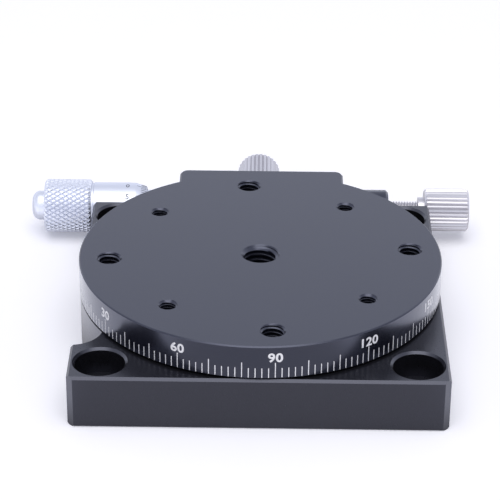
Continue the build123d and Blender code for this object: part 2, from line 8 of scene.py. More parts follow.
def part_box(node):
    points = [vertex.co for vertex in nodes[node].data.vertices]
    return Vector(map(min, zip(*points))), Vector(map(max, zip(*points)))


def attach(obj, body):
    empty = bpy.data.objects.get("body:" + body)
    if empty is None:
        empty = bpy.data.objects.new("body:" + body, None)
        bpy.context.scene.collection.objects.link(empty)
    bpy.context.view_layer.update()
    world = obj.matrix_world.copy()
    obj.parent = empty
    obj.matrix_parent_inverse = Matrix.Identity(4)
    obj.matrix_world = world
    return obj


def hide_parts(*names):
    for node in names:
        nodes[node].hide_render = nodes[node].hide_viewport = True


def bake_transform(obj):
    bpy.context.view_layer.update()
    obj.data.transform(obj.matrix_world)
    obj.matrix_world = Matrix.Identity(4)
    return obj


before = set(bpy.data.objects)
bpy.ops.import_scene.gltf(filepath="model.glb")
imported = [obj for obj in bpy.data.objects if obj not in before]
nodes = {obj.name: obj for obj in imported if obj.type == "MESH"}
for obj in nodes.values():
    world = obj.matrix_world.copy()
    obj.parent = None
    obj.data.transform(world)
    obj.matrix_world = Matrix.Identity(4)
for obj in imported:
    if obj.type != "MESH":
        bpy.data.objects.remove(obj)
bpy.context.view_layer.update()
MM = 0.001
bpy.ops.object.select_all(action="DESELECT")


# ---- camera ---------------------------------------------------------------------------
# A long lens on a stand, 28 degrees above the bench and square to the front of the stage.
# It leans by half a degree, and looks a little to the left of the table's centre.

turn, tilt, lean = radians(0.359), radians(28.483), radians(0.523)
stand_off = 357.895 * MM
aim = Vector((-1.728 * MM, 0, 15.647 * MM))
focal_mm, sensor_mm = 155.62, 36

camera_data = bpy.data.cameras.new("camera")
camera_data.sensor_width = sensor_mm
camera_data.lens = focal_mm
camera_data.clip_start = 10 * MM
camera = bpy.data.objects.new("camera", camera_data)
bpy.context.scene.collection.objects.link(camera)
away = Vector((sin(turn) * cos(tilt), -cos(turn) * cos(tilt), sin(tilt)))
faced = Matrix.Rotation(turn, 4, "Z") @ Matrix.Rotation(pi / 2 - tilt, 4, "X")
camera.matrix_world = (
    Matrix.Translation(aim + away * stand_off) @ faced @ Matrix.Rotation(lean, 4, "Z"))
bpy.context.scene.camera = camera
bpy.context.scene.view_settings.view_transform = "Standard"


# ---- bench and studio light -----------------------------------------------------------
# A white paper sweep under a softbox, in a white room. Both look plain white to the eye.
# Polished metal sees the room brightest near the horizon, and the paper bright only at
# the stage's sides, clear of its shadow.

eye_glow = 0.28                             # what lifts the paper to white for the eye
side_from, side_to = 29 * MM, 38 * MM       # out from the middle, where its glow comes up
rear_from, rear_to = 30 * MM, 18 * MM       # behind the middle, where its glow is down
rear_glow = 0.1
low_sine, high_sine = 0.30, 0.62            # sines of two heights above the horizon
low_sky, high_sky = 1.36, 0.97              # the room's strength in metal at those heights
fill_sky, eye_sky = 0.55, 1.0               # as a light, and to the eye
panel_sizes, panel_gap = (0.6, 0.85, 1.15), 0.01
panel_height, panel_tilt, panel_strength = 0.95, radians(18), 0.76


def linear(hex_colour):
    """An sRGB hex value as a linear colour with alpha."""
    parts = [int(hex_colour[i:i + 2], 16) / 255 for i in (0, 2, 4)]
    return [c / 12.92 if c <= 0.04045 else ((c + 0.055) / 1.055) ** 2.4 for c in parts] + [1]


def add_node(tree, kind, inputs=None, **settings):
    """One node, with its settings, and its sockets set to values or fed by other nodes."""
    made = tree.nodes.new(kind)
    for name, value in settings.items():
        setattr(made, name, value)
    for socket, value in (inputs or {}).items():
        if isinstance(value, bpy.types.NodeSocket):
            tree.links.new(value, made.inputs[socket])
        else:
            made.inputs[socket].default_value = value
    return made


sweep_white = bpy.data.materials.new("white_paper_sweep")
sweep_white.use_nodes = True
tree = sweep_white.node_tree
tree.nodes.clear()
path = add_node(tree, "ShaderNodeLightPath")
place = add_node(tree, "ShaderNodeTexCoord")
spot = add_node(tree, "ShaderNodeSeparateXYZ", {"Vector": place.outputs["Object"]})
across = add_node(tree, "ShaderNodeMath", {0: spot.outputs["X"]}, operation="ABSOLUTE")
sides = add_node(tree, "ShaderNodeMapRange", {
    "Value": across.outputs[0], "From Min": side_from, "From Max": side_to})
ahead = add_node(tree, "ShaderNodeMapRange", {
    "Value": spot.outputs["Y"], "From Min": rear_from, "From Max": rear_to, "To Min": rear_glow})
wings = add_node(tree, "ShaderNodeMath", {
    0: sides.outputs[0], 1: ahead.outputs[0]}, operation="MULTIPLY")
seen = add_node(tree, "ShaderNodeMath", {
    0: path.outputs["Is Camera Ray"], 1: eye_glow}, operation="MULTIPLY")
mirrored = add_node(tree, "ShaderNodeMath", {
    0: path.outputs["Is Glossy Ray"], 1: wings.outputs[0]}, operation="MULTIPLY")
lift = add_node(tree, "ShaderNodeMath", {
    0: seen.outputs[0], 1: mirrored.outputs[0]}, operation="ADD")
paper = add_node(tree, "ShaderNodeBsdfDiffuse", {"Color": linear("F2F2F4")})
glow = add_node(tree, "ShaderNodeEmission", {
    "Color": linear("EDEFFC"), "Strength": lift.outputs[0]})
both = add_node(tree, "ShaderNodeAddShader", {0: paper.outputs[0], 1: glow.outputs[0]})
add_node(tree, "ShaderNodeOutputMaterial", {"Surface": both.outputs[0]})

# a hair under the plate, so that the two faces never share a place
bpy.ops.mesh.primitive_plane_add(size=3, location=(0, 0, -0.02 * MM))
sweep = bpy.context.object
sweep.name = "sweep"
sweep.data.materials.append(sweep_white)

room = bpy.data.worlds.new("white_room")
bpy.context.scene.world = room
room.use_nodes = True
tree = room.node_tree
tree.nodes.clear()
path = add_node(tree, "ShaderNodeLightPath")
clear = add_node(tree, "ShaderNodeMath", {
    0: path.outputs["Is Camera Ray"], 1: path.outputs["Is Transmission Ray"]}, operation="MAXIMUM")
place = add_node(tree, "ShaderNodeTexCoord")
height = add_node(tree, "ShaderNodeSeparateXYZ", {"Vector": place.outputs["Generated"]})
sky = add_node(tree, "ShaderNodeMapRange", {
    "Value": height.outputs["Z"], "From Min": low_sine, "From Max": high_sine,
    "To Min": low_sky, "To Max": high_sky})
fill = add_node(tree, "ShaderNodeBackground", {"Color": linear("ECEDFC"), "Strength": fill_sky})
tent = add_node(tree, "ShaderNodeBackground", {
    "Color": linear("EDF1FF"), "Strength": sky.outputs[0]})
wall = add_node(tree, "ShaderNodeBackground", {"Color": linear("FFFFFF"), "Strength": eye_sky})
lit = add_node(tree, "ShaderNodeMixShader", {
    0: path.outputs["Is Glossy Ray"], 1: fill.outputs[0], 2: tent.outputs[0]})
all_round = add_node(tree, "ShaderNodeMixShader", {
    0: clear.outputs[0], 1: lit.outputs[0], 2: wall.outputs[0]})
add_node(tree, "ShaderNodeOutputWorld", {"Surface": all_round.outputs[0]})

# three panels of one brightness, each over a smaller one, so that the softbox's edge fades
for panel, size in enumerate(panel_sizes):
    lamp_data = bpy.data.lights.new(f"softbox_{panel}", "AREA")
    lamp_data.size = size
    lamp_data.energy = panel_strength * pi * size ** 2
    lamp_data.color = linear("FFFDFA")[:3]
    lamp = bpy.data.objects.new(f"softbox_{panel}", lamp_data)
    up = Matrix.Translation((0, 0, panel_height + panel_gap * panel))
    lamp.matrix_world = Matrix.Rotation(panel_tilt, 4, "X") @ up
    lamp.visible_camera = False
    bpy.context.scene.collection.objects.link(lamp)


# ---- base plate, bearing retainer, hub clamp plate and arm ----------------------------
# Milled from 6061 bar, blasted with glass beads and anodised black. The plate carries the
# bearing in its pocket, and the retainer and the clamp plate are screwed on to hold it.


def start_finish(name):
    """An empty material, its node tree, and a socket with places on the piece in mm."""
    material = bpy.data.materials.new(name)
    material.use_nodes = True
    tree = material.node_tree
    tree.nodes.clear()
    place = add_node(tree, "ShaderNodeTexCoord")
    in_mm = add_node(tree, "ShaderNodeMapping", {
        "Vector": place.outputs["Object"], "Scale": (1 / MM,) * 3})
    return material, tree, in_mm.outputs[0]


def refinish(material, *names):
    """Gives CAD nodes their real finish."""
    for name in names:
        nodes[name].material_slots[0].material = material


# Dense oxide dyed black over a bead-blasted ground: dark, matt and nearly neutral.
bead_mm = 0.25      # real bead marks are near 0.05 mm; drawn coarser so that they show
cloud_mm = 14       # slow change in the depth of the dye
blasted_anodised, tree, in_mm = start_finish("blasted_black_anodised_6061")
beads = add_node(tree, "ShaderNodeTexNoise", {
    "Vector": in_mm, "Scale": 1 / bead_mm, "Detail": 2.0})
cloud = add_node(tree, "ShaderNodeTexNoise", {
    "Vector": in_mm, "Scale": 1 / cloud_mm, "Detail": 2.0})
satin = add_node(tree, "ShaderNodeMapRange", {
    "Value": beads.outputs["Fac"], "To Min": 0.25, "To Max": 0.32})
dye = add_node(tree, "ShaderNodeMix", {
    0: cloud.outputs["Fac"], 6: linear("121215"), 7: linear("161619")}, data_type="RGBA")
pits = add_node(tree, "ShaderNodeBump", {
    "Height": beads.outputs["Fac"], "Strength": 0.06, "Distance": 0.02 * MM})
skin = add_node(tree, "ShaderNodeBsdfPrincipled", {
    "Base Color": dye.outputs[2], "Roughness": satin.outputs[0], "Normal": pits.outputs[0],
    "IOR": 1.75, "Specular Tint": linear("E6E9FF")})
add_node(tree, "ShaderNodeOutputMaterial", {"Surface": skin.outputs[0]})
refinish(blasted_anodised, "base_plate", "bearing_retainer", "hub_clamp_plate", "tangent_arm")


# ---- turned and fly-cut anodised parts ------------------------------------------------
# The table, the drive block and the spring sleeve are machined to a finer finish than the
# plate and anodised without blasting, so that their faces hold a clear soft sheen.

# Dense oxide dyed blue-black over a fine machined ground: a soft even sheen.
grain_mm = 0.2      # real tool marks are near 0.05 mm; drawn coarser so that they show
black_anodised, tree, in_mm = start_finish("black_anodised_6061")
grain = add_node(tree, "ShaderNodeTexNoise", {
    "Vector": in_mm, "Scale": 1 / grain_mm, "Detail": 2.0})
cloud = add_node(tree, "ShaderNodeTexNoise", {
    "Vector": in_mm, "Scale": 1 / cloud_mm, "Detail": 2.0})
satin = add_node(tree, "ShaderNodeMapRange", {
    "Value": grain.outputs["Fac"], "To Min": 0.19, "To Max": 0.26})
dye = add_node(tree, "ShaderNodeMix", {
    0: cloud.outputs["Fac"], 6: linear("16171F"), 7: linear("1A1B24")}, data_type="RGBA")
pits = add_node(tree, "ShaderNodeBump", {
    "Height": grain.outputs["Fac"], "Strength": 0.05, "Distance": 0.02 * MM})
skin = add_node(tree, "ShaderNodeBsdfPrincipled", {
    "Base Color": dye.outputs[2], "Roughness": satin.outputs[0], "Normal": pits.outputs[0],
    "IOR": 1.75, "Specular Tint": linear("DEE4FF")})
add_node(tree, "ShaderNodeOutputMaterial", {"Surface": skin.outputs[0]})
refinish(black_anodised, "drive_block", "table_disc", "spring_sleeve")


# ---- degree scale on the table --------------------------------------------------------
# Engraved round the table's side and filled with white paint: a line every two degrees,
# a longer one every ten, and the degrees in figures every thirty.

table_r, table_top = 30.0 * MM, 15.0 * MM
table_angle = radians(4.88)                 # how far the table is turned at rest
line_width, line_foot = 0.2 * MM, 9.42 * MM
short_line, long_line = 1.75 * MM, 2.7 * MM
figure_height, figure_foot = 1.5 * MM, 12.3 * MM
figure_bolder, figure_wider = 0.058 * MM, 1.08
figure_thick, line_bevel = 0.05 * MM, 0.04 * MM
proud, line_sunk, figure_sunk = 0.012 * MM, 0.1 * MM, 0.08 * MM

# Matt paint wiped into the engraving: white, a little thinner in places.
wipe_mm = 1 / 3     # streaks left by the cloth
white_fill, tree, in_mm = start_finish("white_engraving_paint")
wiped = add_node(tree, "ShaderNodeTexNoise", {
    "Vector": in_mm, "Scale": 1 / wipe_mm, "Detail": 3.0})
paint = add_node(tree, "ShaderNodeMix", {
    0: wiped.outputs["Fac"], 6: linear("F2F3F8"), 7: linear("FFFFFF")}, data_type="RGBA")
skin = add_node(tree, "ShaderNodeBsdfPrincipled", {
    "Base Color": paint.outputs[2], "Roughness": 0.6})
add_node(tree, "ShaderNodeOutputMaterial", {"Surface": skin.outputs[0]})


def edit(piece):
    """Edit mode on one piece, with nothing selected; gives its mesh for choosing by place."""
    bpy.ops.object.select_all(action="DESELECT")
    bpy.context.view_layer.objects.active = piece
    piece.select_set(True)
    bpy.ops.object.mode_set(mode="EDIT")
    bpy.ops.mesh.select_mode(type="VERT")
    bpy.ops.mesh.select_all(action="DESELECT")
    return bmesh.from_edit_mesh(piece.data)


def close(piece, smooth=None):
    """Merges doubled points, turns the faces outwards and leaves edit mode."""
    bpy.ops.mesh.select_all(action="SELECT")
    bpy.ops.mesh.remove_doubles(threshold=0.001 * MM)
    bpy.ops.mesh.normals_make_consistent(inside=False)
    bpy.ops.object.mode_set(mode="OBJECT")
    if smooth is not None:
        bpy.ops.object.shade_smooth_by_angle(angle=radians(smooth))
    return piece


def drop_into(piece, body, material, slot, *hidden):
    """Gives a finished piece its material and puts it on its moving body."""
    piece.data.materials.clear()
    piece.data.materials.append(material)
    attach(piece, body)
    if hidden:
        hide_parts(*hidden)


# five lines of ten degrees, the first one longer, then all five spun round the table
bpy.ops.mesh.primitive_cube_add(size=1)
scale_lines = bpy.context.object
scale_lines.name = "scale_lines"
mesh = edit(scale_lines)
for corner in mesh.verts:
    out = proud if corner.co.x > 0 else -line_sunk
    up = line_foot + (corner.co.z + 0.5) * short_line
    corner.co = Vector((table_r + out, corner.co.y * line_width, up))
bmesh.update_edit_mesh(scale_lines.data)
bpy.ops.mesh.select_all(action="SELECT")
bpy.ops.mesh.bevel(offset=line_bevel, segments=1)
bpy.ops.mesh.select_all(action="SELECT")
bpy.ops.mesh.spin(steps=4, dupli=True, angle=radians(8), center=(0, 0, 0), axis=(0, 0, 1))
mesh = bmesh.from_edit_mesh(scale_lines.data)
for corner in mesh.verts:
    if corner.co.z > line_foot + short_line / 2 and abs(corner.co.y) < line_width:
        corner.co.z += long_line - short_line
bmesh.update_edit_mesh(scale_lines.data)
bpy.ops.mesh.select_all(action="SELECT")
bpy.ops.mesh.spin(steps=35, dupli=True, angle=radians(350), center=(0, 0, 0), axis=(0, 0, 1))
mesh = bmesh.from_edit_mesh(scale_lines.data)
to_front = Matrix.Rotation(radians(-90) + table_angle, 3, "Z")
bmesh.ops.rotate(mesh, cent=(0, 0, 0), matrix=to_front, verts=mesh.verts)
bmesh.update_edit_mesh(scale_lines.data)
close(scale_lines)
drop_into(scale_lines, "table", white_fill, "black_anodised")

for degrees in range(0, 360, 30):
    bpy.ops.object.text_add()
    figures = bpy.context.object
    figures.name = f"scale_figures_{degrees}"
    figures.data.body = str(degrees)
    figures.data.size = figure_height / 0.7     # a figure is 0.7 of the font's size
    figures.data.offset = figure_bolder
    figures.data.extrude = figure_thick
    figures.data.resolution_u = 4
    figures.data.align_x = "CENTER"
    figures.data.space_character = 1.05
    bpy.ops.object.convert(target="MESH")
    at = radians(-90) + radians(degrees - 90) + table_angle
    mesh = edit(figures)
    for corner in mesh.verts:
        out = table_r + (proud if corner.co.z > 0 else -figure_sunk)
        angle = at + corner.co.x * figure_wider / table_r
        corner.co = Vector((out * cos(angle), out * sin(angle), figure_foot + corner.co.y))
    bmesh.update_edit_mesh(figures.data)
    close(figures)
    drop_into(figures, "table", white_fill, "black_anodised")


# ---- tapped holes in the table --------------------------------------------------------
# M6 through the middle, four M4 near the rim and four M3 further in, countersunk, then
# tapped, and anodised with the table.

lining_wall = 0.06 * MM
lining_lift = 0.02 * MM                     # its foot stays clear of the hole's floor
run_out = radians(205)                      # where the last turn runs out at the mouth


def thread_outline(pitch, crest, root):
    """One pitch of a 60 degree thread, as (height, radius) points with a flat top and foot."""
    flank = abs(root - crest) * tan(radians(30))
    flat = (pitch - flank * 2) / 2
    points = [(0.0, root), (flat / 2, root)]
    for part in (0.33, 0.67, 1.0):
        points.append((flat / 2 + flank * part, root + (crest - root) * part))
    for part in (0.0, 0.33, 0.67, 1.0):
        points.append((flat * 1.5 + flank + flank * part, crest + (root - crest) * part))
    points.append((pitch, root))
    return points


def wind(name, pitch, points, turns, steps):
    """Winds an open outline round Z with a Screw modifier, each turn on the last."""
    bpy.ops.mesh.primitive_circle_add(vertices=len(points))
    piece = bpy.context.object
    piece.name = name
    mesh = edit(piece)
    mesh.verts.ensure_lookup_table()
    for corner, (height, radius) in zip(mesh.verts, points):
        corner.co = Vector((radius, 0, height))
    mesh.edges.ensure_lookup_table()
    ends = {0, len(points) - 1}
    closing = [edge for edge in mesh.edges if {corner.index for corner in edge.verts} == ends]
    bmesh.ops.delete(mesh, geom=closing, context="EDGES")
    bmesh.update_edit_mesh(piece.data)
    bpy.ops.object.mode_set(mode="OBJECT")
    screw = piece.modifiers.new("thread", "SCREW")
    screw.axis = "Z"
    screw.screw_offset = pitch
    screw.iterations = turns
    screw.steps = screw.render_steps = steps
    screw.use_merge_vertices = False
    bpy.ops.object.modifier_apply(modifier=screw.name)
    return piece


def tapped_bore(name, pitch, crest, root, depth, sink_r, steps):
    """The threaded lining of one hole, with its countersunk mouth at the table's top."""
    piece = wind(name, pitch, thread_outline(pitch, crest, root), ceil(depth / pitch) + 2, steps)
    mesh = edit(piece)
    for corner in mesh.verts:
        corner.co.z += table_top - depth - pitch
    bmesh.update_edit_mesh(piece.data)
    bpy.ops.mesh.select_all(action="SELECT")
    bpy.ops.mesh.remove_doubles(threshold=0.001 * MM)
    lip = table_top - (sink_r - root)
    for height, outside in ((table_top - depth + lining_lift, -1), (lip, 1)):
        bpy.ops.mesh.select_all(action="SELECT")
        bpy.ops.mesh.bisect(plane_co=(0, 0, height), plane_no=(0, 0, outside), clear_outer=True)
    mesh = bmesh.from_edit_mesh(piece.data)
    for corner in mesh.verts:
        radius = corner.co.xy.length
        sink = sink_r - (table_top - corner.co.z)
        if radius < sink:
            corner.co.xy *= sink / radius
    bmesh.update_edit_mesh(piece.data)
    # the lining's back, inside the table's own wall
    bpy.ops.mesh.select_all(action="DESELECT")
    bpy.ops.mesh.select_mode(type="EDGE")
    bpy.ops.mesh.select_non_manifold(extend=False)
    bpy.ops.mesh.extrude_edges_move()
    mesh = bmesh.from_edit_mesh(piece.data)
    for corner in mesh.verts:
        if corner.select:
            corner.co.xy *= (root + lining_wall) / corner.co.xy.length
    bmesh.update_edit_mesh(piece.data)
    bpy.ops.mesh.bridge_edge_loops()
    bpy.ops.mesh.select_all(action="SELECT")
    bpy.ops.transform.rotate(value=run_out, orient_axis="Z", center_override=(0, 0, 0))
    return close(piece, 30)


def copy_at(piece, name, x, y):
    """A copy with its own mesh, its place in the mesh."""
    twin = piece.copy()
    twin.data = piece.data.copy()
    twin.name = name
    bpy.context.scene.collection.objects.link(twin)
    twin.data.transform(Matrix.Translation((x, y, 0)))
    return twin


# size; pitch, crest and root radius, depth and mouth's radius in mm; steps in a turn;
# the radius of their circle in mm, how many there are, and the first one's angle
holes = (
    ("m6", (1.0, 2.54, 2.98, 12.95, 3.2), 72, 0.0, 1, 0),
    ("m4", (0.7, 1.68, 1.98, 4.45, 2.1), 56, 25.0, 4, 0),
    ("m3", (0.5, 1.23, 1.48, 4.45, 1.6), 48, 32 / sqrt(2), 4, 45))
for size, lengths, steps, circle, count, start in holes:
    bore = tapped_bore(f"table_thread_{size}", *(length * MM for length in lengths), steps)
    for number in range(count):
        angle = table_angle + radians(start + number * 360 / count)
        x, y = circle * MM * cos(angle), circle * MM * sin(angle)
        lining = copy_at(bore, f"table_thread_{size}_{number + 1}", x, y)
        drop_into(lining, "table", black_anodised, "black_anodised")
    bpy.data.objects.remove(bore)


# ---- micrometer thimble ---------------------------------------------------------------
# Turned from steel and plated in satin chrome. A coarse diamond knurl is rolled into the
# grip, and the front is bevelled and engraved with fifty lines for one 0.5 mm turn.

drive, drive_axis = Vector((0, 34.9 * MM, 5.5 * MM)), Vector((1, 0, 0))
thimble_front, grip_front, thimble_back = -20.75 * MM, -30.7 * MM, -39.15 * MM
bevel_r, barrel_r, grip_r = 3.6 * MM, 4.28 * MM, 4.78 * MM
bevel_long, edge = 2.0 * MM, 0.05 * MM
undercut_long, undercut_deep = 0.35 * MM, 0.1 * MM      # between the barrel and the grip
core_r, core_wall = 4.1 * MM, 1.6 * MM                  # inside the grip, and its back wall
stem_bore_r, spindle_bore_r = 3.3 * MM, 1.8 * MM
knurl_round, knurl_long = 34, 1.48 * MM                 # diamonds round the grip, one's length
knurl_groove, knurl_depth, grip_chamfer = 0.16 * MM, 0.21 * MM, 0.35 * MM

# Chrome over a fine blasted ground: pale, faintly blue, with wide soft highlights.
blast_mm = 0.2      # the real blasting is near 0.03 mm; drawn coarser so that it shows
satin_chrome, tree, in_mm = start_finish("satin_chrome_plate")
blast = add_node(tree, "ShaderNodeTexNoise", {
    "Vector": in_mm, "Scale": 1 / blast_mm, "Detail": 3.0})
sheen = add_node(tree, "ShaderNodeMapRange", {
    "Value": blast.outputs["Fac"], "To Min": 0.40, "To Max": 0.50})
plate = add_node(tree, "ShaderNodeMix", {
    0: blast.outputs["Fac"], 6: linear("D3D6E0"), 7: linear("DBDEE8")}, data_type="RGBA")
frost = add_node(tree, "ShaderNodeBump", {
    "Height": blast.outputs["Fac"], "Strength": 0.04, "Distance": 0.01 * MM})
skin = add_node(tree, "ShaderNodeBsdfPrincipled", {
    "Base Color": plate.outputs[2], "Roughness": sheen.outputs[0], "Metallic": 1.0,
    "Normal": frost.outputs[0]})
add_node(tree, "ShaderNodeOutputMaterial", {"Surface": skin.outputs[0]})
refinish(satin_chrome, "micrometer_stem")


def lathe(name, outline):
    """Spins a closed outline of (distance along the drive's axis, radius) into a solid."""
    bpy.ops.mesh.primitive_circle_add(vertices=len(outline))
    piece = bpy.context.object
    piece.name = name
    mesh = edit(piece)
    mesh.verts.ensure_lookup_table()
    for corner, (along, radius) in zip(mesh.verts, outline):
        corner.co = drive + Vector((along, 0, radius))
    bmesh.update_edit_mesh(piece.data)
    bpy.ops.mesh.select_all(action="SELECT")
    bpy.ops.mesh.spin(steps=96, angle=2 * pi, center=drive, axis=drive_axis)
    return close(piece, 30)


# one diamond, inset to a flat-topped pyramid, spun round and repeated along the grip
bpy.ops.mesh.primitive_circle_add(vertices=4, fill_type="NGON")
knurl = bpy.context.object
knurl.name = "thimble_knurl"
half_turn = pi / knurl_round
foot_r = grip_r - knurl_depth
mesh = edit(knurl)
mesh.verts.ensure_lookup_table()
diamond = ((-0.5, 0), (0, -half_turn), (0.5, 0), (0, half_turn))
for corner, (along, angle) in zip(mesh.verts, diamond):
    corner.co = drive + Vector((along * knurl_long, foot_r * sin(angle), foot_r * cos(angle)))
bmesh.update_edit_mesh(knurl.data)
bpy.ops.mesh.select_all(action="SELECT")
bpy.ops.mesh.normals_make_consistent(inside=False)
mesh = bmesh.from_edit_mesh(knurl.data)
mesh.faces.ensure_lookup_table()
if mesh.faces[0].normal.z < 0:
    bpy.ops.mesh.flip_normals()
bpy.ops.mesh.inset(thickness=knurl_groove, depth=knurl_depth)
bpy.ops.mesh.select_all(action="SELECT")
bpy.ops.mesh.spin(
    steps=knurl_round - 1, dupli=True, angle=2 * pi - half_turn * 2, center=drive, axis=drive_axis)
bpy.ops.mesh.select_all(action="SELECT")
bpy.ops.mesh.duplicate()
bpy.ops.transform.translate(value=(knurl_long / 2, 0, 0))
bpy.ops.transform.rotate(value=half_turn, orient_axis="X", center_override=drive)
bpy.ops.object.mode_set(mode="OBJECT")
rows = ceil((grip_front - thimble_back) / knurl_long) + 2
array = knurl.modifiers.new("rows", "ARRAY")
array.count = rows
array.use_relative_offset = False
array.use_constant_offset = True
array.constant_offset_displace = (knurl_long, 0, 0)
bpy.ops.object.modifier_apply(modifier=array.name)
mesh = edit(knurl)
# the first row starts behind the grip, and both ends are then cut square and chamfered
bmesh.ops.translate(mesh, vec=(thimble_back - knurl_long * 0.8, 0, 0), verts=mesh.verts)
bmesh.update_edit_mesh(knurl.data)
bpy.ops.mesh.select_all(action="SELECT")
bpy.ops.mesh.remove_doubles(threshold=0.002 * MM)
cuts = (
    (thimble_back, -1, True), (grip_front, 1, True),
    (thimble_back + grip_chamfer, 1, False), (grip_front - grip_chamfer, 1, False))
for at, outside, cut in cuts:
    bpy.ops.mesh.select_all(action="SELECT")
    bpy.ops.mesh.bisect(plane_co=(at, 0, 0), plane_no=(outside, 0, 0), clear_outer=cut)
mesh = bmesh.from_edit_mesh(knurl.data)
for corner in mesh.verts:
    arm = corner.co - drive
    radius = sqrt(arm.y ** 2 + arm.z ** 2)
    room = grip_r - grip_chamfer + min(corner.co.x - thimble_back, grip_front - corner.co.x)
    if radius > room:
        corner.co.y = drive.y + arm.y * room / radius
        corner.co.z = drive.z + arm.z * room / radius
bmesh.update_edit_mesh(knurl.data)
# the grip's inner wall, at nine tenths of the outer one's radius
bpy.ops.mesh.select_all(action="DESELECT")
bpy.ops.mesh.select_mode(type="EDGE")
bpy.ops.mesh.select_non_manifold(extend=False)
bpy.ops.mesh.extrude_edges_move()
bpy.ops.transform.resize(value=(1, 0.9, 0.9), center_override=drive)
bpy.ops.mesh.bridge_edge_loops()
close(knurl)
drop_into(knurl, "thimble", satin_chrome, "satin_chrome", "micrometer_thimble")

thimble = lathe("thimble_body", [
    (thimble_front, stem_bore_r), (thimble_front, bevel_r - edge), (thimble_front - edge, bevel_r),
    (thimble_front - (bevel_long - edge), barrel_r - 0.02 * MM),
    (thimble_front - (bevel_long + edge), barrel_r),
    (grip_front + (undercut_long + undercut_deep), barrel_r),
    (grip_front + undercut_long, barrel_r - undercut_deep),
    (grip_front, barrel_r - undercut_deep), (grip_front, core_r), (thimble_back + edge, core_r),
    (thimble_back + edge, spindle_bore_r), (thimble_back + core_wall, spindle_bore_r),
    (thimble_back + core_wall, stem_bore_r)])
drop_into(thimble, "thimble", satin_chrome, "satin_chrome", "micrometer_thimble")

# the domed cap over the screw that holds the thimble on its spindle
cap_side, cap_flat_r, cap_round = 0.95 * MM, 1.25 * MM, 1.4 * MM
outline = [(thimble_back, 0), (thimble_back, cap_flat_r + cap_round)]
for angle in range(0, 91, 9):
    out, up = cap_round * sin(radians(angle)), cap_round * cos(radians(angle))
    outline.append((thimble_back - (cap_side + out), cap_flat_r + up))
outline.append((thimble_back - (cap_side + cap_round), 0))
cap = lathe("thimble_cap", outline)
drop_into(cap, "thimble", satin_chrome, "satin_chrome", "thimble_end_cap")

# Matt grey-black paint in shallow engraved lines, never quite filling them.
smear_mm = 0.25     # streaks left by the cloth, in finer lines
black_fill, tree, in_mm = start_finish("black_engraving_paint")
wiped = add_node(tree, "ShaderNodeTexNoise", {
    "Vector": in_mm, "Scale": 1 / smear_mm, "Detail": 3.0})
paint = add_node(tree, "ShaderNodeMix", {
    0: wiped.outputs["Fac"], 6: linear("3C3F4A"), 7: linear("5A5E6C")}, data_type="RGBA")
skin = add_node(tree, "ShaderNodeBsdfPrincipled", {
    "Base Color": paint.outputs[2], "Roughness": 0.55})
add_node(tree, "ShaderNodeOutputMaterial", {"Surface": skin.outputs[0]})

# lines on the bevel, five to a group with the first one longer, and ten groups round
bevel_slope = (barrel_r - bevel_r) / bevel_long
mark_start, mark_long, mark_extra, mark_wide = 0.06 * MM, 0.95 * MM, 0.75 * MM, 0.11 * MM
paint_proud, paint_sunk = 0.008 * MM, 0.05 * MM
bpy.ops.mesh.primitive_cube_add(size=1)
bevel_lines = bpy.context.object
bevel_lines.name = "thimble_lines"
mesh = edit(bevel_lines)
for corner in mesh.verts:
    back = mark_start + (mark_long if corner.co.x < 0 else 0)
    rise = bevel_r + back * bevel_slope + (paint_proud if corner.co.z > 0 else -paint_sunk)
    corner.co = drive + Vector((thimble_front - back, corner.co.y * mark_wide, rise))
bmesh.update_edit_mesh(bevel_lines.data)
bpy.ops.mesh.select_all(action="SELECT")
bpy.ops.mesh.spin(steps=4, dupli=True, angle=radians(28.8), center=drive, axis=drive_axis)
mesh = bmesh.from_edit_mesh(bevel_lines.data)
for corner in mesh.verts:
    if abs(corner.co.y - drive.y) < mark_wide and corner.co.x < thimble_front - mark_long / 2:
        corner.co.x -= mark_extra
        corner.co.z += mark_extra * bevel_slope
bmesh.update_edit_mesh(bevel_lines.data)
bpy.ops.mesh.select_all(action="SELECT")
bpy.ops.mesh.spin(steps=9, dupli=True, angle=radians(324), center=drive, axis=drive_axis)
close(bevel_lines)
drop_into(bevel_lines, "thimble", black_fill, "satin_chrome")

number_height, number_bolder = 1.45 * MM, 0.012 * MM
number_thick, number_sunk = 0.04 * MM, 0.04 * MM
number_back, zero_angle = 3.05 * MM, 86     # from the front edge, and up from the front
for number in range(10):
    bpy.ops.object.text_add()
    figures = bpy.context.object
    figures.name = f"thimble_figures_{number * 5}"
    figures.data.body = str(number * 5)
    figures.data.size = number_height
    figures.data.offset = number_bolder
    figures.data.extrude = number_thick
    figures.data.resolution_u = 3
    figures.data.align_x = "RIGHT"
    figures.data.align_y = "CENTER"
    bpy.ops.object.convert(target="MESH")
    at = radians(zero_angle - number * 36)
    mesh = edit(figures)
    for corner in mesh.verts:
        out = barrel_r + (paint_proud if corner.co.z > 0 else -number_sunk)
        angle = at + corner.co.y / barrel_r
        along = thimble_front - number_back + corner.co.x
        corner.co = drive + Vector((along, -out * cos(angle), out * sin(angle)))
    bmesh.update_edit_mesh(figures.data)
    close(figures)
    drop_into(figures, "thimble", black_fill, "satin_chrome")


# ---- micrometer stem ------------------------------------------------------------------
# The fixed stem that the thimble turns on, plated like it. A datum line runs along it,
# with a line above it every millimetre, a longer one every five, and one below it at each
# half millimetre.

stem_r, stem_zero = 3.0 * MM, -17.75 * MM
datum = radians(50)                         # up from level, on the stem's front
# in mm: the datum's ends, half the width of it and of a mark, and how far the marks reach
datum_from, datum_to, half_datum, half_mark = 0.1, 12.5, 0.05, 0.04
whole_mark, fifth_mark, half_way_mark = 0.75, 1.0, 0.65

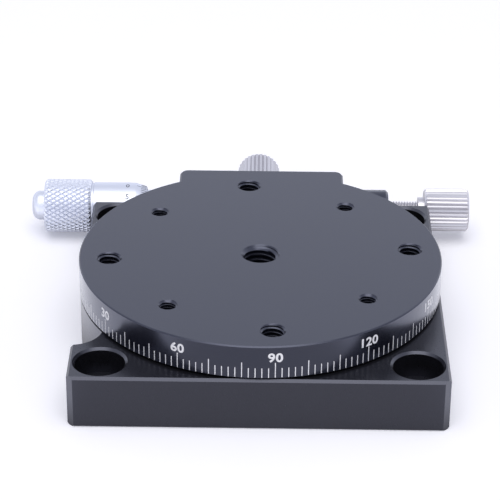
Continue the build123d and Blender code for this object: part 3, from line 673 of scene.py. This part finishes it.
bpy.ops.mesh.primitive_cube_add(size=1)
stem_scale = bpy.context.object
stem_scale.name = "stem_scale"
mesh = edit(stem_scale)
# the datum line and then the marks, each (from, to, below, above) in mm
boxes = [(-datum_to, -datum_from, -half_datum, half_datum)]
for step in range(1, 25):
    at = -0.5 * step
    if step % 2:
        below, above = -half_way_mark, -half_datum
    else:
        below, above = half_datum, whole_mark if step % 10 else fifth_mark
    boxes.append((at - half_mark, at + half_mark, below, above))
block = list(mesh.verts) + list(mesh.edges) + list(mesh.faces)
groups = [list(mesh.verts)]
for _ in boxes[1:]:
    made = bmesh.ops.duplicate(mesh, geom=block)["geom"]
    groups.append([part for part in made if isinstance(part, bmesh.types.BMVert)])
for (left, right, below, above), corners in zip(boxes, groups):
    for corner in corners:
        out = stem_r + (paint_proud if corner.co.z > 0 else -paint_sunk)
        angle = datum + (above if corner.co.y > 0 else below) * MM / stem_r
        along = stem_zero + (right if corner.co.x > 0 else left) * MM
        corner.co = drive + Vector((along, -out * cos(angle), out * sin(angle)))
bmesh.update_edit_mesh(stem_scale.data)
close(stem_scale)
drop_into(stem_scale, "base", black_fill, "satin_chrome")


# ---- lock screws ----------------------------------------------------------------------
# M3 screws turned from stainless steel, each with a straight-knurled knob pressed on. The
# fine lock is screwed into the spring sleeve, and the coarse lock into the arm.

# 303 stainless off the lathe: bright, slightly warm, with faint turning marks.
turning_mm = 0.2    # turning marks
steel, tree, in_mm = start_finish("turned_stainless_steel")
marks = add_node(tree, "ShaderNodeTexNoise", {
    "Vector": in_mm, "Scale": 1 / turning_mm, "Detail": 3.0})
sheen = add_node(tree, "ShaderNodeMapRange", {
    "Value": marks.outputs["Fac"], "To Min": 0.30, "To Max": 0.40})
metal = add_node(tree, "ShaderNodeMix", {
    0: marks.outputs["Fac"], 6: linear("BFBDC1"), 7: linear("CBC9CD")}, data_type="RGBA")
skin = add_node(tree, "ShaderNodeBsdfPrincipled", {
    "Base Color": metal.outputs[2], "Roughness": sheen.outputs[0], "Metallic": 1.0})
add_node(tree, "ShaderNodeOutputMaterial", {"Surface": skin.outputs[0]})
refinish(steel, "fine_lock_stud", "fine_lock_knob", "coarse_lock_stud", "coarse_lock_knob")

m3_pitch, m3_crest, m3_root, m3_point = 0.5 * MM, 1.46 * MM, 1.18 * MM, 1.16 * MM
m3_outline = thread_outline(m3_pitch, m3_crest, m3_root)
studs = (("fine_lock_stud", "fine_lock_screw", 0), ("coarse_lock_stud", "coarse_lock_screw", 1))
for stud, body, axis in studs:              # along X, and along Y
    low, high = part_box(stud)
    length = high[axis] - low[axis]
    thread = wind(stud + "_thread", m3_pitch, m3_outline, ceil(length / m3_pitch) + 1, 40)
    mesh = edit(thread)
    bpy.ops.mesh.select_all(action="SELECT")
    bpy.ops.mesh.remove_doubles(threshold=0.001 * MM)
    for height, outside in ((m3_pitch, -1), (m3_pitch + length, 1)):
        bpy.ops.mesh.select_all(action="SELECT")
        bpy.ops.mesh.bisect(
            plane_co=(0, 0, height), plane_no=(0, 0, outside), clear_outer=True, use_fill=True)
    mesh = bmesh.from_edit_mesh(thread.data)
    middle = (low + high) / 2
    for corner in mesh.verts:
        x, y, z = corner.co
        radius = sqrt(x * x + y * y)
        room = m3_point + min(z - m3_pitch, m3_pitch + length - z)
        if radius > room:
            x, y = x * room / radius, y * room / radius
        z += low[axis] - m3_pitch
        if axis == 0:
            corner.co = Vector((z, middle.y + x, middle.z + y))
        else:
            corner.co = Vector((middle.x + y, z, middle.z + x))
    bmesh.update_edit_mesh(thread.data)
    close(thread, 30)
    drop_into(thread, body, steel, "stainless_steel", stud)


# ---- bearing rings, rollers and spindle -----------------------------------------------
# Hardened bearing steel, ground and lapped: the two rings, the crossed rollers, and the
# spindle, button and plunger that the arm works against.

# 52100 steel after grinding: bright and cool, with fine marks that soften the highlights.
ground_mm = 0.125   # real grinding marks are near 0.02 mm; drawn coarser so that they show
bearing_steel, tree, in_mm = start_finish("ground_bearing_steel")
ground = add_node(tree, "ShaderNodeTexNoise", {
    "Vector": in_mm, "Scale": 1 / ground_mm, "Detail": 3.0})
sheen = add_node(tree, "ShaderNodeMapRange", {
    "Value": ground.outputs["Fac"], "To Min": 0.14, "To Max": 0.24})
metal = add_node(tree, "ShaderNodeMix", {
    0: ground.outputs["Fac"], 6: linear("B4B6BA"), 7: linear("C2C4C8")}, data_type="RGBA")
skin = add_node(tree, "ShaderNodeBsdfPrincipled", {
    "Base Color": metal.outputs[2], "Roughness": sheen.outputs[0], "Metallic": 1.0})
add_node(tree, "ShaderNodeOutputMaterial", {"Surface": skin.outputs[0]})
refinish(
    bearing_steel, "bearing_outer_ring", "bearing_inner_ring", "bearing_rollers",
    "anvil_button", "micrometer_spindle", "plunger_pin")


# ---- roller cage and brass tips -------------------------------------------------------
# The cage is turned and drilled from brass. The tips of the two lock screws are soft
# brass too, so that they grip the table and the plunger without marking them.

# Bare machining brass, slightly dulled in patches of a few millimetres.
patch_mm = 2.5      # dull patches
brass, tree, in_mm = start_finish("turned_brass")
patches = add_node(tree, "ShaderNodeTexNoise", {
    "Vector": in_mm, "Scale": 1 / patch_mm, "Detail": 4.0})
sheen = add_node(tree, "ShaderNodeMapRange", {
    "Value": patches.outputs["Fac"], "To Min": 0.22, "To Max": 0.36})
metal = add_node(tree, "ShaderNodeMix", {
    0: patches.outputs["Fac"], 6: linear("B08D4A"), 7: linear("C9A860")}, data_type="RGBA")
skin = add_node(tree, "ShaderNodeBsdfPrincipled", {
    "Base Color": metal.outputs[2], "Roughness": sheen.outputs[0], "Metallic": 1.0})
add_node(tree, "ShaderNodeOutputMaterial", {"Surface": skin.outputs[0]})
refinish(brass, "roller_cage", "fine_lock_tip", "coarse_clamp_pad")


# ---- spring and circlip ---------------------------------------------------------------
# Spring steel: the return spring is cold wound from wire, and the circlip is stamped from
# strip and hardened.

# Drawn and tempered steel: a mid grey with a faint brown temper in broad patches.
temper_mm = 2       # patches of temper colour
spring_steel, tree, in_mm = start_finish("tempered_spring_steel")
temper = add_node(tree, "ShaderNodeTexNoise", {
    "Vector": in_mm, "Scale": 1 / temper_mm, "Detail": 3.0})
metal = add_node(tree, "ShaderNodeMix", {
    0: temper.outputs["Fac"], 6: linear("77787C"), 7: linear("8D857A")}, data_type="RGBA")
skin = add_node(tree, "ShaderNodeBsdfPrincipled", {
    "Base Color": metal.outputs[2], "Roughness": 0.32, "Metallic": 1.0})
add_node(tree, "ShaderNodeOutputMaterial", {"Surface": skin.outputs[0]})
refinish(spring_steel, "return_spring", "arm_circlip")

# the spring, with one end on the sleeve's wall and the other against the plunger
low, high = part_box("return_spring")
wire_r, coils = 0.15 * MM, 6
coil_r = (high.z - low.z) / 2 - wire_r
middle = (low + high) / 2
bpy.ops.mesh.primitive_circle_add(vertices=10, radius=wire_r)
spring = bpy.context.object
spring.name = "return_spring_coils"
mesh = edit(spring)
for corner in mesh.verts:
    corner.co = Vector((coil_r + corner.co.x, 0, corner.co.y))
bmesh.update_edit_mesh(spring.data)
bpy.ops.object.mode_set(mode="OBJECT")
winding = spring.modifiers.new("winding", "SCREW")
winding.axis = "Z"
winding.screw_offset = (high.x - low.x - wire_r * 2) / coils
winding.iterations = coils
winding.steps = winding.render_steps = 32
winding.use_merge_vertices = False
bpy.ops.object.modifier_apply(modifier=winding.name)
mesh = edit(spring)
for corner in mesh.verts:
    x, y, z = corner.co
    corner.co = Vector((low.x + wire_r + z, middle.y + x, middle.z + y))
bmesh.update_edit_mesh(spring.data)
bpy.ops.mesh.select_all(action="SELECT")
bpy.ops.mesh.fill_holes(sides=0)
close(spring, 40)
spring.data.materials.clear()
spring.data.materials.append(spring_steel)
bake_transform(spring)
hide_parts("return_spring")


# ---- screws ---------------------------------------------------------------------------
# Alloy steel socket screws and grub screws, hardened and blackened in hot oxide. They hold
# the block, the retainer and the clamp plate, and clamp the stem and the spring sleeve.

# Hot black oxide under a film of oil: near black, semi-gloss, with a fine uneven grain.
oxide_mm = 1 / 3    # grain of the oxide and the oil on it
black_oxide, tree, in_mm = start_finish("black_oxide_steel")
grain = add_node(tree, "ShaderNodeTexNoise", {
    "Vector": in_mm, "Scale": 1 / oxide_mm, "Detail": 4.0})
sheen = add_node(tree, "ShaderNodeMapRange", {
    "Value": grain.outputs["Fac"], "To Min": 0.30, "To Max": 0.46})
oxide = add_node(tree, "ShaderNodeMix", {
    0: grain.outputs["Fac"], 6: linear("1D1D20"), 7: linear("2A2A2D")}, data_type="RGBA")
skin = add_node(tree, "ShaderNodeBsdfPrincipled", {
    "Base Color": oxide.outputs[2], "Roughness": sheen.outputs[0], "Metallic": 0.6})
add_node(tree, "ShaderNodeOutputMaterial", {"Surface": skin.outputs[0]})
refinish(black_oxide, "block_screws", "retainer_screws", "clamp_plate_screws", "clamp_grub_screws")


# ---- slide washer ---------------------------------------------------------------------
# A washer cut from white acetal, which the arm's ring turns on. A circlip keeps them both
# on the plate's boss.

# Natural acetal: milky white and waxy, with light passing a short way into it.
wax_mm = 2 / 3      # clouding under the surface
acetal, tree, in_mm = start_finish("white_acetal")
wax = add_node(tree, "ShaderNodeTexNoise", {"Vector": in_mm, "Scale": 1 / wax_mm, "Detail": 2.0})
milk = add_node(tree, "ShaderNodeMix", {
    0: wax.outputs["Fac"], 6: linear("E6E4DE"), 7: linear("F0EEE9")}, data_type="RGBA")
skin = add_node(tree, "ShaderNodeBsdfPrincipled", {
    "Base Color": milk.outputs[2], "Roughness": 0.38, "Subsurface Weight": 0.2,
    "Subsurface Scale": 0.4 * MM})
add_node(tree, "ShaderNodeOutputMaterial", {"Surface": skin.outputs[0]})
refinish(acetal, "arm_slide_washer")
